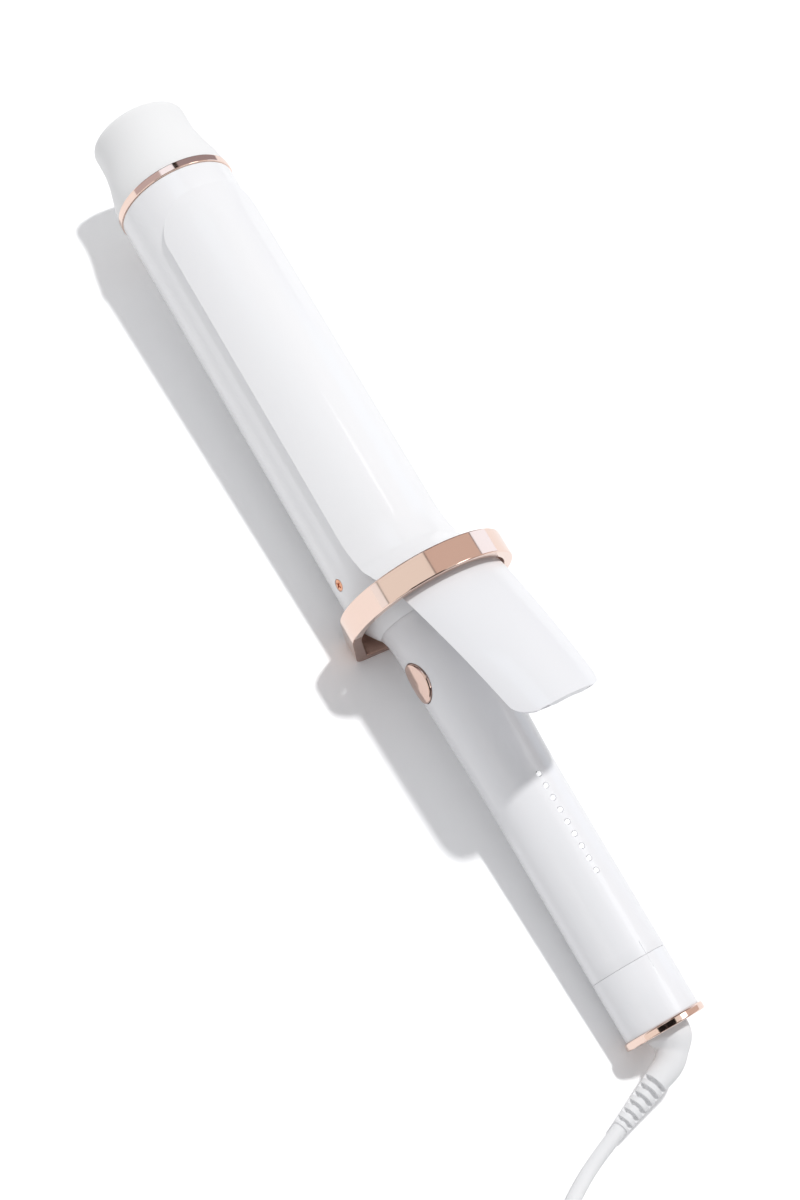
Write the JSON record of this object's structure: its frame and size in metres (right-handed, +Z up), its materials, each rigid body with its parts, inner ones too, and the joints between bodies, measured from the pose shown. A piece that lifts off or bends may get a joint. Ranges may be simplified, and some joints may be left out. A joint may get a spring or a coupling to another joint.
{
  "type": "hair curling iron",
  "caption": "Clamp curling iron with a wide heated barrel, sprung clamp and thumb lever, flared cool tip, loop stand, push button, row of indicator lights and a swivelling lead.",
  "frame": {"origin": "centre of the box of the iron without its lead, on the surface it stands on", "axes": "+X from the handle end to the cool tip, +Y towards the side with the push button, +Z up towards the clamp and its lever"},
  "size_m": [0.4349, 0.1198, 0.0648],
  "materials": {
    "ceramic_coat": "gloss white ceramic coat on aluminium",
    "white_gloss": "gloss",
    "rose_gold": "polished rose gold plate",
    "copper": "polished copper plate",
    "steel": "satin",
    "shoe": "extruded",
    "heater": "matte",
    "mica": "matte",
    "wire": "matte sleeve",
    "board": "solder mask",
    "dark": "matte",
    "lens": "clear lens",
    "nylon": "matte",
    "brass": "satin",
    "lead": "satin white",
    "nickel": "nickel plate"
  },
  "bodies": {
    "iron": {"barrel": "ceramic_coat", "tip_ring": "rose_gold", "cool_tip": "white_gloss", "neck": "white_gloss", "handle_shell": "white_gloss", "end_sleeve": "white_gloss", "end_ring": "rose_gold", "side_screws": "copper", "heater_shoes": "shoe", "ceramic_element": "heater", "thermal_fuse": "steel", "temperature_sensor": "copper", "heat_shield": "mica", "heater_leads": "wire", "stand_band": "rose_gold", "stand_screw": "steel", "hinge_bracket": "steel", "hinge_pin": "steel", "return_spring": "steel", "button_switch": "dark", "circuit_board": "board", "board_parts": "dark", "indicator_lights": "lens", "supply_wires": "wire", "swivel_socket": "nylon", "brush_contacts": "brass"},
    "clamp": {"clamp_plate": "ceramic_coat", "thumb_lever": "white_gloss", "lever_strap": "steel", "hinge_ears": "steel", "lever_screws": "steel"},
    "button": {"power_button": "rose_gold"},
    "swivel": {"swivel_core": "nylon", "contact_rings": "brass", "retaining_clip": "steel", "strain_relief": "lead", "cord_run": "lead", "cord_coil": "lead", "cord_tie": "dark", "cord_tail": "lead", "plug_body": "lead", "plug_pins": "nickel"}
  },
  "joints": [
    {"name": "clamp_hinge", "type": "hinge", "parent": "iron", "child": "clamp", "pos_m": [-0.01922, 0, 0.04054], "axis": [0, -1, 0], "range_deg": [0, 25], "stiffness_Nm_per_rad": 0.5, "springref_deg": -17.19, "deforming": ["return_spring"]},
    {"name": "button_press", "type": "slide", "parent": "iron", "child": "button", "axis": [0, -1, 0], "range_m": [0, 0.0006], "stiffness_N_per_m": 1500, "springref_m": -0.0003},
    {"name": "lead_swivel", "type": "hinge", "parent": "iron", "child": "swivel", "pos_m": [-0.15677, 0, 0.01225], "axis": [0.9982, 0, 0.0599], "continuous": true}
  ]
}
